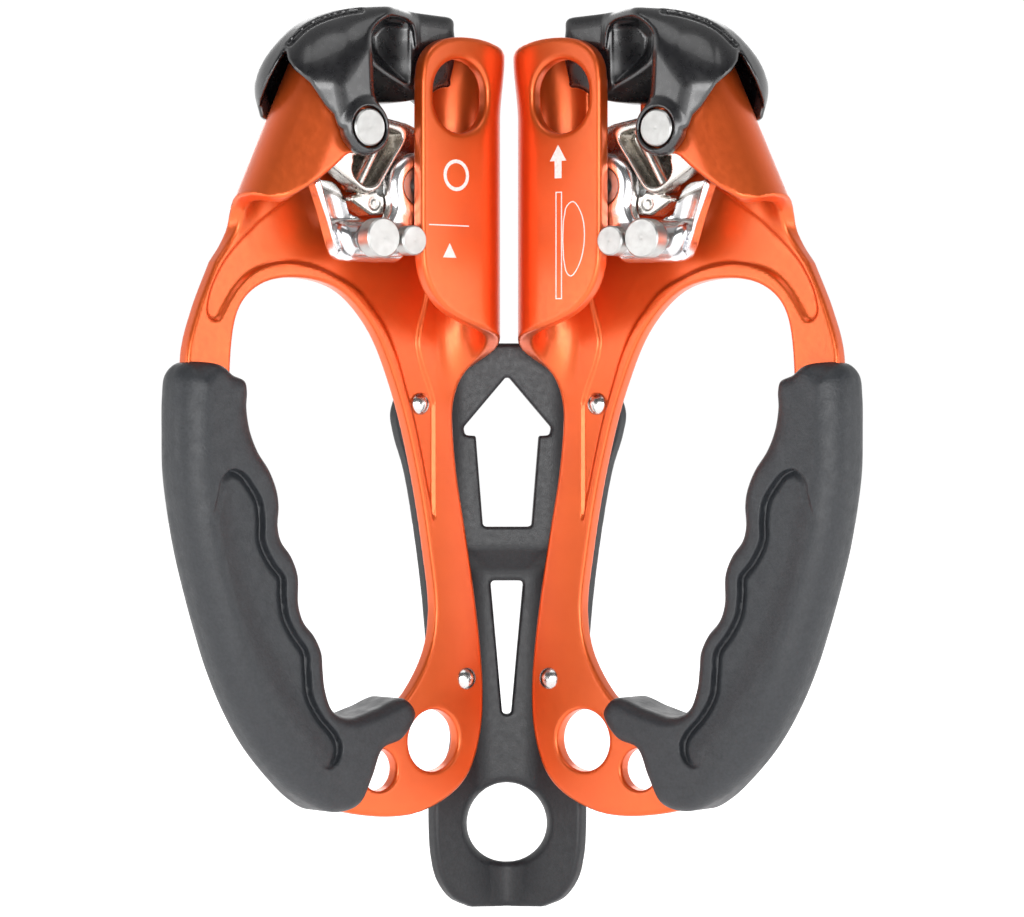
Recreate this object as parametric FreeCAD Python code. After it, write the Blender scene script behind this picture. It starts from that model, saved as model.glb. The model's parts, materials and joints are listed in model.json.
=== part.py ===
"""Double-handled rope ascender: two mirror-image handled rope clamps riveted to one bent centre plate.

World frame, millimetres: X to the right, Y away from the user, Z up.  The origin is the centre of the
carabiner eye in the centre plate.  Each clamp is a sheet-metal frame turned by SPLAY about the vertical,
so the two clamps open towards the user like a V.

Every piece of one clamp is drawn in the clamp's own frame and then set in place, once as drawn for the
right clamp and once mirrored for the left clamp:
    x  outwards along the frame's sheet, from the rope channel to the hand grip
    y  up, the same height as world Z
    z  towards the user, square to the sheet; the sheet lies between z = 0 and z = SHEET
"""
import FreeCAD, Part

import math
import os

from FreeCAD import Vector

# ---------------------------------------------------------------- driving dimensions
SPLAY = 36.0                # angle of each clamp about the vertical, degrees
APEX_Y = 0.6                # where the two frames' back planes would meet
SHEET = 4.0                 # thickness of the frames and of the centre plate

TOP = 200.5                 # highest point, the crown of the hoods
BOTTOM = -21.2              # lowest point, the foot of the centre plate

EYE_R = 10.0                # carabiner eye
EYE_CHAMFER = 1.0
WEB_UPPER = 12.5            # half width of the flat web between the wings
WEB_LOWER = 7.0
WEB_FOOT = 2.3
JOGGLE_TOP = 69.0
JOGGLE_FOOT = 63.2
PLATE_TOP = 119.5

CHANNEL_X = 24.7            # rope channel: centre line
CHANNEL_Z = 11.5
CHANNEL_R = 7.5             # inside radius, for rope up to 13 mm
CHANNEL_TOP = 192.0
FLAP_EDGE = 43.1            # free edge of the folded front flap
FOLD_Z = CHANNEL_Z + CHANNEL_R            # back face of the front flap, 19 mm
FRONT_Z = FOLD_Z + SHEET                  # front face of the front flap, 23 mm

EYELET = (31.0, 179.3)      # oval carabiner hole through flap and back
EYELET_W = 16.6
EYELET_H = 19.0

BIG_HOLE = (25.6, 21.7)     # accessory holes at the foot of the frame
BIG_HOLE_R = 7.65
RELIEF_R = 10.4             # scallop in the centre plate's wing behind the large hole
SMALL_HOLE = (41.9, 15.2)
SMALL_HOLE_R = 5.15
RIVETS = ((15.5, 36.7), (29.3, 104.9))
RIVET_R = 2.0
RIVET_HEAD_R = 2.5
RIVET_RISE = 1.0            # height of the rivet's dome
RIVET_BACK = -4.8           # back of the rivet's foot, behind the centre plate's wing

AXLE = (61.5, 170.0)        # cam axle
AXLE_R = 4.0
AXLE_HEAD_R = 4.4
AXLE_BACK_R = 5.0
AXLE_FRONT = 27.2
AXLE_BACK = -1.5
PIN_CHAMFER = 0.35
EAR_R = 6.6

SHELL_FOOT = (75.4, 152.0)  # centre line of the folded outer shell
SHELL_HEAD = (57.6, 190.0)

MECH_BACK = 5.4             # the mechanism lies between these two depths
MECH_FRONT = 18.4
CAM_NOSE_R = 39.5           # toothed face, from the axle
CAM_NOSE_DEG = 199.0
TOOTH = 1.0
FLANGE_BACK = 13.4          # back of the cam's front flange
CAM_SPRING_Z = 9.4          # the two return springs: back of the coil
LEVER_SPRING_Z = 12.1
CAM_SPRING_SEAT_R = 7.4

RING = (40.9, 157.3)        # lever pivot, carried by the cam
RING_R = 8.0
PIVOT_R = 4.4
PIVOT_BORE_R = 2.6
PIVOT_BACK = 8.0
SPRING_SEAT_R = 6.8
LEVER_BACK = 13.8           # back of the lever's ring and link
BARREL_BACK = 7.0
BARREL_STEP = 17.4
BARREL_FRONT = 22.0
THUMB_STUD = (56.8, 144.0)
THUMB_STUD_R = 4.75
THUMB_SHANK_R = 3.0
CATCH_STUD = (48.3, 143.6)
CATCH_STUD_R = 3.6
CATCH_SHANK_R = 1.2
SHANK_BACK = 12.0           # depth that both shanks reach into the barrel
STOP_PIN = (49.6, 156.2)
STOP_PIN_R = 1.3

RUNNING = 0.05              # radial clearance of pins that turn
CLEAR = 0.4                 # air between pieces that pass each other

GRIP_BACK = -6.0            # the grip's depth, around the 4 mm sheet
GRIP_FRONT = 10.5
GRIP_ROUND = 3.5

HOOD_WALL = 3.0
HOOD_BACK = -3.0
HOOD_FRONT = FRONT_Z + HOOD_WALL


# ---------------------------------------------------------------- helpers
def curve(points):
    """A smooth edge through the points."""
    spline = Part.BSplineCurve()
    spline.interpolate([Vector(x, y, 0) for x, y in points])
    return spline.toShape()


def line(a, b):
    return Part.makeLine(Vector(a[0], a[1], 0), Vector(b[0], b[1], 0))


def loop(*stretches):
    """A closed wire: each stretch is a list of points, straight when it has two and smooth otherwise."""
    edges = [line(*s) if len(s) == 2 else curve(s) for s in stretches]
    return Part.Wire(Part.__sortEdges__(edges))


def polygon(points):
    ring = [Vector(x, y, 0) for x, y in points]
    return Part.makePolygon(ring + [ring[0]])


def closed_curve(points):
    spline = Part.BSplineCurve()
    spline.interpolate([Vector(x, y, 0) for x, y in points], PeriodicFlag=True)
    return Part.Wire([spline.toShape()])


def prism(wire, z0, z1):
    """The wire's area, from depth z0 to depth z1."""
    solid = Part.Face(wire).extrude(Vector(0, 0, z1 - z0))
    solid.translate(Vector(0, 0, z0))
    return solid


def disc(centre, radius, z0, z1):
    return Part.makeCylinder(radius, z1 - z0, Vector(centre[0], centre[1], z0))


def slot_hole(centre, width, height, z0, z1):
    """An upright hole with round ends."""
    reach = (height - width) / 2
    body = Part.makeBox(width, 2 * reach, z1 - z0, Vector(centre[0] - width / 2, centre[1] - reach, z0))
    top = disc((centre[0], centre[1] + reach), width / 2, z0, z1)
    foot = disc((centre[0], centre[1] - reach), width / 2, z0, z1)
    return body.fuse([top, foot]).removeSplitter()


def half_tube(foot, head, outer, inner, z, side):
    """Half a tube along the line foot-head; side is +1 when it bulges outwards and -1 inwards."""
    a = Vector(foot[0], foot[1], z)
    b = Vector(head[0], head[1], z)
    along = b - a
    tube = Part.makeCylinder(outer, along.Length, a, along)
    tube = tube.cut(Part.makeCylinder(inner, along.Length, a, along))
    across = along.cross(Vector(0, 0, 1)).normalize() * side
    far = across * (outer + 1)
    depth = Vector(0, 0, outer + 1)
    corners = [a - depth, b - depth, b - depth + far, a - depth + far]
    keep = Part.Face(Part.makePolygon(corners + [corners[0]])).extrude(depth * 2)
    return tube.common(keep)


def joined(first, *others):
    return first.fuse(list(others)).removeSplitter()


def single(shape):
    """The one solid that a cut leaves."""
    return max(shape.Solids, key=lambda s: s.Volume)


SIN = math.sin(math.radians(SPLAY))
COS = math.cos(math.radians(SPLAY))
RIGHT = FreeCAD.Matrix(COS, 0, -SIN, 0,
                       -SIN, 0, -COS, APEX_Y,
                       0, 1, 0, 0,
                       0, 0, 0, 1)


def in_world(shape):
    """A piece drawn in the clamp's frame, set in place as part of the right clamp."""
    placed = shape.copy()
    placed.Placement = FreeCAD.Placement(RIGHT).multiply(placed.Placement)
    return placed


def save(name, shape):
    if not shape.isValid():
        print("NOT VALID:", name)
    shape.exportStep("parts/" + name + ".step")
    print("%-20s %2d solid(s) %9.1f mm3" % (name, len(shape.Solids), shape.Volume))


def save_pair(name, shape):
    """The piece for the right clamp, and its mirror image for the left clamp."""
    right = in_world(shape)
    save("right_" + name, right)
    save("left_" + name, right.mirror(Vector(0, 0, 0), Vector(1, 0, 0)))


# ---------------------------------------------------------------- frame
def frame_outline():
    """Outer edge of the flat sheet; the folds start on its upper left and upper right."""
    channel_side = [(CHANNEL_X, 112.0), (19.8, 103.5), (18.4, 88.5), (15.6, 73.5), (12.9, 58.5),
                    (10.8, 43.5), (10.1, 33.5), (10.8, 23.5), (14.1, 13.5), (19.4, 8.5),
                    (30.6, 4.0), (44.7, 4.0), (58.0, 7.5), (70.0, 17.5), (81.0, 36.5),
                    (90.0, 60.0), (96.5, 88.5), (98.0, 115.5), (95.0, 126.5), (91.0, 135.5),
                    (83.0, 146.0), SHELL_FOOT]
    return loop(channel_side,
                [SHELL_FOOT, SHELL_HEAD],
                [SHELL_HEAD, (50.0, 197.0)],
                [(50.0, 197.0), (CHANNEL_X, 197.0)],
                [(CHANNEL_X, 197.0), (CHANNEL_X, 112.0)])


def hand_opening():
    return closed_curve([(67.0, 135.0), (77.0, 133.0), (83.0, 128.5), (85.7, 113.5), (84.0, 88.5),
                         (77.5, 63.5), (67.5, 42.5), (56.0, 29.5), (43.0, 28.0), (32.7, 33.5),
                         (26.8, 43.5), (25.0, 53.5), (26.8, 68.5), (30.7, 88.5), (36.6, 108.5),
                         (44.0, 123.5), (54.0, 132.5)])


def fold_runout():
    """What is cut from the foot of the rope channel, so that the fold runs out into the flat sheet."""
    side_view = [(3.0, 100.0), (3.0, 107.0), (5.7, 113.5), (11.5, 118.5), (FRONT_Z + 1, 123.0),
                 (FRONT_Z + 1, 100.0)]
    ring = [Vector(CHANNEL_X, y, z) for z, y in side_view]
    return Part.Face(Part.makePolygon(ring + [ring[0]])).extrude(Vector(-CHANNEL_X, 0, 0))


def make_frame():
    flat = prism(frame_outline(), 0, SHEET)
    flat = flat.cut(prism(hand_opening(), -1, SHEET + 1))
    fold = half_tube((CHANNEL_X, 105.0), (CHANNEL_X, CHANNEL_TOP), CHANNEL_R + SHEET, CHANNEL_R,
                     CHANNEL_Z, -1)
    flap = prism(loop([(CHANNEL_X, 122.5), (31.5, 125.0), (38.5, 130.0), (42.0, 136.0), (FLAP_EDGE, 144.0)],
                      [(FLAP_EDGE, 144.0), (FLAP_EDGE, 184.0)],
                      [(FLAP_EDGE, 184.0), (40.8, 190.0), (34.5, 193.2), (CHANNEL_X, 193.2)],
                      [(CHANNEL_X, 193.2), (CHANNEL_X, 122.5)]),
                 FOLD_Z, FRONT_Z)
    shell = half_tube(SHELL_FOOT, SHELL_HEAD, CHANNEL_R + SHEET, CHANNEL_R, CHANNEL_Z, 1)
    ear = prism(loop([(AXLE[0] - EAR_R, AXLE[1]), (57.2, 165.0), (62.0, 162.6), (68.0, 158.0), SHELL_FOOT],
                     [SHELL_FOOT, SHELL_HEAD],
                     [SHELL_HEAD, (52.0, 190.0)],
                     [(52.0, 190.0), (AXLE[0] - EAR_R, AXLE[1])]),
                FOLD_Z, FRONT_Z)
    fold = fold.cut(fold_runout())
    body = joined(flat, fold, flap, shell, ear)
    body = body.cut(slot_hole(EYELET, EYELET_W, EYELET_H, -1, FRONT_Z + 1))
    body = body.cut(disc(BIG_HOLE, BIG_HOLE_R, -1, SHEET + 1))
    body = body.cut(disc(SMALL_HOLE, SMALL_HOLE_R, -1, SHEET + 1))
    body = body.cut(disc(AXLE, AXLE_R + RUNNING, -1, FRONT_Z + 1))
    for rivet in RIVETS:
        body = body.cut(disc(rivet, RIVET_R, -1, SHEET + 1))
    return single(body)


# ---------------------------------------------------------------- grip
def make_grip(frame):
    """Rubber moulded round the outer leg, with four finger waves, reaching round the foot of the opening."""
    outline = closed_curve([(85.5, 109.5), (92.0, 114.8), (99.0, 114.0), (101.0, 108.0), (102.0, 91.0),
                            (100.5, 70.0), (95.0, 46.0), (86.0, 27.0), (74.0, 12.0), (60.0, 5.2),
                            (51.5, 7.5), (47.6, 14.0), (44.5, 20.6), (38.5, 23.0), (34.6, 29.0),
                            (38.0, 32.8), (46.0, 30.6), (56.0, 29.2), (61.5, 32.5), (63.0, 41.5),
                            (66.0, 48.5), (69.8, 54.5), (70.5, 62.5), (74.8, 69.0), (76.3, 78.0),
                            (78.8, 87.0), (84.0, 99.0)])
    body = prism(outline, GRIP_BACK, GRIP_FRONT)
    rims = [e for e in body.Edges if abs(e.BoundBox.ZLength) < 1e-3]
    rounded = body.makeFillet(GRIP_ROUND, rims)
    inside = prism(frame_outline(), 0, SHEET).cut(prism(hand_opening(), -1, SHEET + 1))
    return single(rounded.cut(inside).cut(frame))


# ---------------------------------------------------------------- hood
def make_hood(frame):
    """Plastic hood over the head of the frame: back wall, crown and a front ear round the axle's head."""
    side = loop([(17.5, 190.5), (18.5, 199.0), (24.0, TOP - 0.7), (40.0, TOP), (56.0, 198.0),
                 (68.0, 191.5), (78.0, 180.0), (80.5, 170.5)],
                [(80.5, 170.5), (76.5, 171.5)],
                [(76.5, 171.5), (68.0, 178.0)],
                [(68.0, 178.0), (24.0, 178.0), (18.5, 183.0), (17.5, 190.5)])
    cavity = loop([(17.0, 176.0), (17.0, 197.2)],
                  [(17.0, 197.2), (40.0, TOP - HOOD_WALL), (54.0, 195.5), (66.0, 189.0), (75.0, 178.0),
                   (77.0, 169.0)],
                  [(77.0, 169.0), (17.0, 176.0)])
    shell = prism(side, HOOD_BACK, HOOD_FRONT).cut(prism(cavity, 0, FRONT_Z))
    front_cut = polygon([(10.0, 170.0), (10.0, 210.0), (47.0, 210.0), (54.0, 190.0), (54.0, 160.0)])
    shell = shell.cut(prism(front_cut, SHEET + 6.0, HOOD_FRONT + 1))
    low_cut = polygon([(69.0, 165.0), (74.0, 190.0), (90.0, 185.0), (90.0, 165.0)])
    shell = shell.cut(prism(low_cut, SHEET + 4.0, HOOD_FRONT + 1))
    ear = prism(polygon([(55.4, 170.0), (54.0, 180.0), (68.0, 180.0), (68.0, 174.0)]), FRONT_Z, HOOD_FRONT)
    boss = disc(AXLE, EAR_R, FRONT_Z, HOOD_FRONT)
    body = joined(shell, ear, boss)
    body = body.cut(disc(AXLE, AXLE_HEAD_R + RUNNING, 0, HOOD_FRONT + 1))
    body = body.cut(disc(AXLE, AXLE_BACK_R + RUNNING, HOOD_BACK - 1, 0))
    return single(body.cut(frame))


# ---------------------------------------------------------------- cam
def polar(centre, radius, degrees):
    a = math.radians(degrees)
    return (centre[0] + radius * math.cos(a), centre[1] + radius * math.sin(a))


def toothed_face():
    """Saw teeth on the eccentric face: the radius grows as the face turns down."""
    points = []
    count = 9
    for i in range(count + 1):
        degrees = CAM_NOSE_DEG - 12.0 + i * 30.0 / count
        radius = CAM_NOSE_R - 5.0 + i * 5.0 / count
        points.append(polar(AXLE, radius - TOOTH, degrees))
        if i < count:
            points.append(polar(AXLE, radius + 0.5, degrees + 1.0))
    return points


def make_cam():
    """Nickel-plated steel cam: hub, web with the toothed nose, front flange with a slanted window."""
    nose = toothed_face()
    web = prism(polygon([(58.0, 176.0), (44.0, 173.5)] + nose + [(44.5, 153.5), (52.0, 153.0),
                                                                (64.0, 164.0)]), MECH_BACK, FLANGE_BACK)
    hub = disc(AXLE, 6.4, MECH_BACK, MECH_FRONT)
    flange = prism(polygon([(60.0, 176.0), (45.6, 172.4), (44.2, 169.8), (53.4, 156.6), (56.0, 155.6),
                            (65.5, 165.0)]), FLANGE_BACK, MECH_FRONT)
    window = prism(polygon([(49.4, 169.6), (47.6, 168.6), (54.4, 158.8), (56.4, 159.4), (56.9, 162.0),
                            (51.8, 169.4)]), 12.0, MECH_FRONT + 1)
    mud_hole = disc((56.0, 163.4), 1.9, MECH_BACK - 1, MECH_FRONT + 1)
    body = joined(web, hub, flange).cut(window).cut(mud_hole)
    body = body.cut(disc(AXLE, AXLE_R + RUNNING, MECH_BACK - 1, MECH_FRONT + 1))
    body = body.cut(disc(AXLE, CAM_SPRING_SEAT_R, CAM_SPRING_Z - CLEAR, LEVER_BACK))
    body = body.cut(disc(RING, PIVOT_R, PIVOT_BACK, MECH_FRONT + 1))
    body = body.cut(disc(RING, SPRING_SEAT_R, LEVER_SPRING_Z - CLEAR, MECH_FRONT + 1))
    return single(body.cut(disc(STOP_PIN, STOP_PIN_R, MECH_BACK - 1, MECH_FRONT)))


def make_lever():
    """Polished aluminium lever: ring on the cam, link, barrel with two studs, and an upright thumb pad."""
    ring = disc(RING, RING_R, LEVER_BACK, MECH_FRONT)
    link = prism(polygon([(33.8, 153.0), (46.9, 141.0), (52.0, 141.0), (50.5, 147.0), (48.3, 156.0)]),
                 LEVER_BACK, MECH_FRONT)
    barrel = prism(loop([(46.9, 148.0), (46.9, 140.6)],
                        [(46.9, 140.6), (51.0, 139.7), (57.0, 139.7), (62.0, 141.5), (64.0, 144.0)],
                        [(64.0, 144.0), (67.6, 157.2)],
                        [(67.6, 157.2), (65.8, 157.8)],
                        [(65.8, 157.8), (62.4, 152.0), (57.5, 149.2), (46.9, 148.0)]),
                   BARREL_BACK, BARREL_STEP)
    front = prism(loop([(46.9, 147.6), (46.9, 140.6)],
                       [(46.9, 140.6), (54.0, 139.7), (61.0, 141.0)],
                       [(61.0, 141.0), (61.5, 148.0)],
                       [(61.5, 148.0), (46.9, 147.6)]), BARREL_STEP, BARREL_FRONT)
    body = joined(ring, link, barrel, front)
    body = body.cut(disc(RING, PIVOT_R + RUNNING, MECH_BACK, MECH_FRONT + 1))
    body = body.cut(disc(THUMB_STUD, THUMB_SHANK_R, SHANK_BACK, BARREL_FRONT + 1))
    return single(body.cut(disc(CATCH_STUD, CATCH_SHANK_R, SHANK_BACK, BARREL_FRONT + 1)))


def coil(centre, radius, wire, turns, z0):
    """A closely wound coil: one closed ring of wire for each turn, a hair apart, on one pitch."""
    rings = []
    for i in range(turns):
        ring = Part.makeTorus(radius, wire / 2)
        ring.translate(Vector(centre[0], centre[1], z0 + wire / 2 + i * (wire * 0.92)))
        rings.append(ring)
    return joined(*rings)


# ---------------------------------------------------------------- pins and studs
def make_axle():
    shaft = disc(AXLE, AXLE_R, 0, FRONT_Z)
    head = disc(AXLE, AXLE_HEAD_R, FRONT_Z, AXLE_FRONT)
    rim = [e for e in head.Edges if e.BoundBox.ZMin > AXLE_FRONT - 0.001]
    head = head.makeChamfer(PIN_CHAMFER, rim)
    peened = disc(AXLE, AXLE_BACK_R, AXLE_BACK, 0)
    return joined(shaft, head, peened)


def make_pivot():
    """Hollow rivet that carries the lever ring on the cam."""
    body = disc(RING, PIVOT_R, PIVOT_BACK, MECH_FRONT)
    return body.cut(disc(RING, PIVOT_BORE_R, LEVER_BACK, MECH_FRONT + 1))


def stud(centre, shank_r, head_r, head_back, head_front):
    """A pressed-in stud: its shank sits in the lever's barrel and its flat head stands towards the user."""
    head = disc(centre, head_r, head_back, head_front)
    rim = [e for e in head.Edges if e.BoundBox.ZMin > head_front - 0.001]
    return joined(head.makeChamfer(PIN_CHAMFER, rim), disc(centre, shank_r, SHANK_BACK, head_back))


def make_rivets():
    """Two domed rivets that hold the frame to the centre plate's wing."""
    dome_r = (RIVET_HEAD_R ** 2 + RIVET_RISE ** 2) / (2 * RIVET_RISE)
    rivets = []
    for x, y in RIVETS:
        shank = disc((x, y), RIVET_R, RIVET_BACK, SHEET)
        ball = Part.makeSphere(dome_r, Vector(x, y, SHEET + RIVET_RISE - dome_r))
        dome = ball.common(disc((x, y), RIVET_HEAD_R + 1, SHEET, SHEET + 2))
        foot = disc((x, y), RIVET_HEAD_R, RIVET_BACK, -SHEET)
        rivets.append(joined(shank, dome, foot))
    return Part.makeCompound(rivets)


# ---------------------------------------------------------------- centre plate
def web_section(height, half_web):
    """Cross-section of the bent plate at one height: flat web, and two wings bent towards the user."""
    tangent = SIN / COS
    reach = 34.0
    web_y = APEX_Y - half_web * tangent
    tip_y = APEX_Y - reach * tangent
    turn = SHEET * math.tan(math.radians(SPLAY) / 2)
    back = [(half_web + turn, web_y + SHEET), (reach + SHEET * SIN, tip_y + SHEET * COS)]
    front = [(reach, tip_y), (half_web, web_y)]
    right = back + front
    left = [(-x, y) for x, y in reversed(right)]
    return Part.makePolygon([Vector(x, y, height) for x, y in right + left + right[:1]])


def make_centre_plate():
    sections = [web_section(BOTTOM - 1, WEB_FOOT), web_section(JOGGLE_FOOT, WEB_LOWER),
                web_section(JOGGLE_TOP, WEB_UPPER), web_section(PLATE_TOP, WEB_UPPER)]
    body = None
    for low, high in zip(sections, sections[1:]):
        piece = Part.makeLoft([low, high], True, True)
        body = piece if body is None else body.fuse(piece)
    # what lies outside the wing's outline is cut away square to the wing
    outside = loop([(12.0, PLATE_TOP + 1), (12.0, PLATE_TOP)],
                   [(12.0, PLATE_TOP), (20.0, 117.5), (27.0, 112.5), (32.5, 106.5), (33.7, 102.5),
                    (32.5, 97.0), (29.8, 88.5), (25.8, 68.5), (23.2, 48.5), (21.2, 23.5), (21.0, 0.0),
                    (21.0, -9.0)],
                   [(21.0, -9.0), (20.0, -14.0), (16.0, -19.2), (10.0, BOTTOM)],
                   [(10.0, BOTTOM), (-6.0, BOTTOM)],
                   [(-6.0, BOTTOM), (-6.0, BOTTOM - 10)],
                   [(-6.0, BOTTOM - 10), (70.0, BOTTOM - 10)],
                   [(70.0, BOTTOM - 10), (70.0, PLATE_TOP + 1)],
                   [(70.0, PLATE_TOP + 1), (12.0, PLATE_TOP + 1)])
    right_cut = in_world(prism(outside, -20, 12))
    body = body.cut(right_cut).cut(right_cut.mirror(Vector(0, 0, 0), Vector(1, 0, 0)))
    foot = Part.makeBox(80, 40, 10, Vector(-40, -20, BOTTOM - 10))
    body = body.cut(foot)
    for wire in (polygon([(0, 112.0), (10.9, 98.6), (10.4, 97.4), (8.0, 97.0), (6.0, 74.5), (-6.0, 74.5),
                          (-8.0, 97.0), (-10.4, 97.4), (-10.9, 98.6)]),
                 polygon([(-4.0, 60.8), (4.0, 60.8), (1.3, 27.8), (-1.3, 27.8)])):
        cutter = prism(wire, -20, 20)
        cutter.rotate(Vector(0, 0, 0), Vector(1, 0, 0), 90)
        body = body.cut(cutter)
    body = body.cut(Part.makeCylinder(EYE_R, 40, Vector(0, -20, 0), Vector(0, 1, 0)))
    scallop = in_world(disc(BIG_HOLE, RELIEF_R, -20, 12))
    body = body.cut(scallop).cut(scallop.mirror(Vector(0, 0, 0), Vector(1, 0, 0)))
    for rivet in RIVETS:
        hole = in_world(disc(rivet, RIVET_R, -SHEET - 3, 3))
        body = body.cut(hole).cut(hole.mirror(Vector(0, 0, 0), Vector(1, 0, 0)))
    return single(body.removeSplitter())


# ---------------------------------------------------------------- the whole ascender
os.makedirs("parts", exist_ok=True)
save("centre_plate", make_centre_plate())
frame = make_frame()
save_pair("frame", frame)
save_pair("grip", make_grip(frame))
save_pair("hood", make_hood(frame))
save_pair("rivets", make_rivets())
save_pair("cam_axle", make_axle())
save_pair("cam", make_cam())
save_pair("cam_spring", coil(AXLE, 5.5, 1.1, 4, CAM_SPRING_Z))
save_pair("lever", make_lever())
save_pair("lever_pivot", make_pivot())
save_pair("lever_spring", coil(RING, 6.0, 0.8, 1, LEVER_SPRING_Z))
save_pair("thumb_stud", stud(THUMB_STUD, THUMB_SHANK_R, THUMB_STUD_R, BARREL_FRONT, 26.2))
save_pair("catch_stud", stud(CATCH_STUD, CATCH_SHANK_R, CATCH_STUD_R, BARREL_FRONT + 1.6, 27.0))
save_pair("stop_pin", disc(STOP_PIN, STOP_PIN_R, MECH_BACK, LEVER_BACK - CLEAR / 2))
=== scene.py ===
"""Looks of the double-handled rope ascender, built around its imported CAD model.

The big pieces are solids written as distance fields: a function gives, for any point, how far it is from
the piece's surface, negative inside.  The surface is then meshed as quads and every vertex is moved onto it.
All fields are in millimetres, in one clamp's own frame, which the record's cam joint places in the world:
    x  outwards along the frame's sheet      y  up, the same as world Z      z  towards the user
The right clamp is built as drawn and the left clamp as its mirror image.
"""

import json
import math

import bpy
import numpy as np
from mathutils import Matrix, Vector


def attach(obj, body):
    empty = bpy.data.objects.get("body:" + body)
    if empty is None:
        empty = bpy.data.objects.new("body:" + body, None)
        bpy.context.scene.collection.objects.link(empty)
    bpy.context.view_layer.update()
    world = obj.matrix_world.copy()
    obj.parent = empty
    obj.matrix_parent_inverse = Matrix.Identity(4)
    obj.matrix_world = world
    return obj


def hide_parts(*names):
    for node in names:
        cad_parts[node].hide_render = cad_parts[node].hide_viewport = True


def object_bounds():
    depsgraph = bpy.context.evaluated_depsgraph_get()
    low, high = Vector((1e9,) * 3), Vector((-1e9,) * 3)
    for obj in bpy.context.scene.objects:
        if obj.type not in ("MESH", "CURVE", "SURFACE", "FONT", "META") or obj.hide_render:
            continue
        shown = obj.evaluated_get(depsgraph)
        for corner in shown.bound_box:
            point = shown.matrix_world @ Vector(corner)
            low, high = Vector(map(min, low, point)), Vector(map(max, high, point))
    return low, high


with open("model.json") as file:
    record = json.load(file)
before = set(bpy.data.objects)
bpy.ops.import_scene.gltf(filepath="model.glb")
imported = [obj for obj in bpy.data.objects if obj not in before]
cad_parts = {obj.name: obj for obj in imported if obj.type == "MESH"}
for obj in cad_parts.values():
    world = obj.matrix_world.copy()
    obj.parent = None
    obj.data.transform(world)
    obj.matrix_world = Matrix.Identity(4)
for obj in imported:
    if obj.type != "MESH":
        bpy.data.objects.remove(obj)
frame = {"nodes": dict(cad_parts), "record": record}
CAD_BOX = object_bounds()
MM = 0.001

# ------------------------ the clamp's frame, from the record
AXLE = (61.5, 170.0, 11.5)          # the cam joint's place in the clamp's frame
JOINTS = {j["name"]: j for j in frame["record"]["behaviour"]["joints"]}
CAM_JOINT = JOINTS["right_cam_pivot"]
SIN, COS = -CAM_JOINT["axis"][0], -CAM_JOINT["axis"][1]
SHIFT = (CAM_JOINT["pos_m"][0] / MM - AXLE[0] * COS + AXLE[2] * SIN,
         CAM_JOINT["pos_m"][1] / MM + AXLE[0] * SIN + AXLE[2] * COS,
         CAM_JOINT["pos_m"][2] / MM - AXLE[1])
RING = (40.9, 157.3)                # axis of the lever's pivot
THUMB_STUD = (56.8, 144.0)
CATCH_STUD = (48.3, 143.6)
STOP_PIN = (49.6, 156.2)
SHEET = 4.0

FAR = 9.0                   # stands for anywhere well outside a solid; -FAR for well inside
BLOCK = 10                  # grid steps along one side of a block
HALF_DIAGONAL = 0.87        # of a cube with sides of 1
FIELD_SLOPE = 1.35          # allows for fields that change faster than the true distance
SETTLE_ROUNDS = 2
PROBE = 0.02                # step for measuring a field's slope
LONGEST_MOVE = 0.4          # of a vertex in one round
TABLE_STEP = 0.25
TABLE_MARGIN = 14.0


def clamp_to_world(p, side):
    x = p[:, 0] * COS - p[:, 2] * SIN + SHIFT[0]
    y = -p[:, 0] * SIN - p[:, 2] * COS + SHIFT[1]
    return np.stack([side * x, y, p[:, 1] + SHIFT[2]], 1)


# ------------------------ solids as distance fields
def blocks_field(sdf, lo, hi, step):
    """Distance values on a grid, worked out only in the blocks near the surface."""
    count = np.ceil((np.array(hi) - np.array(lo)) / step).astype(int) + 2
    field = np.full(count, FAR, np.float32)
    starts = [np.arange(0, c, BLOCK) for c in count]
    si, sj, sk = np.meshgrid(*starts, indexing="ij")
    s = np.stack([si.ravel(), sj.ravel(), sk.ravel()], 1)
    centre = np.array(lo) + (s + BLOCK / 2) * step
    reach = BLOCK * step * HALF_DIAGONAL * FIELD_SLOPE + 0.2
    value = sdf(centre)
    near = np.abs(value) < reach
    for a, b in zip(s[~near], value[~near]):
        if b < 0:
            field[a[0]:a[0] + BLOCK, a[1]:a[1] + BLOCK, a[2]:a[2] + BLOCK] = -FAR
    s = s[near]
    off = np.stack(np.meshgrid(*[np.arange(BLOCK)] * 3, indexing="ij"), -1).reshape(-1, 3)
    for start in range(0, len(s), 400):
        idx = (s[start:start + 400, None, :] + off[None]).reshape(-1, 3)
        idx = idx[(idx < count).all(1)]
        field[idx[:, 0], idx[:, 1], idx[:, 2]] = sdf(np.array(lo) + idx * step)
    return field


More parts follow.
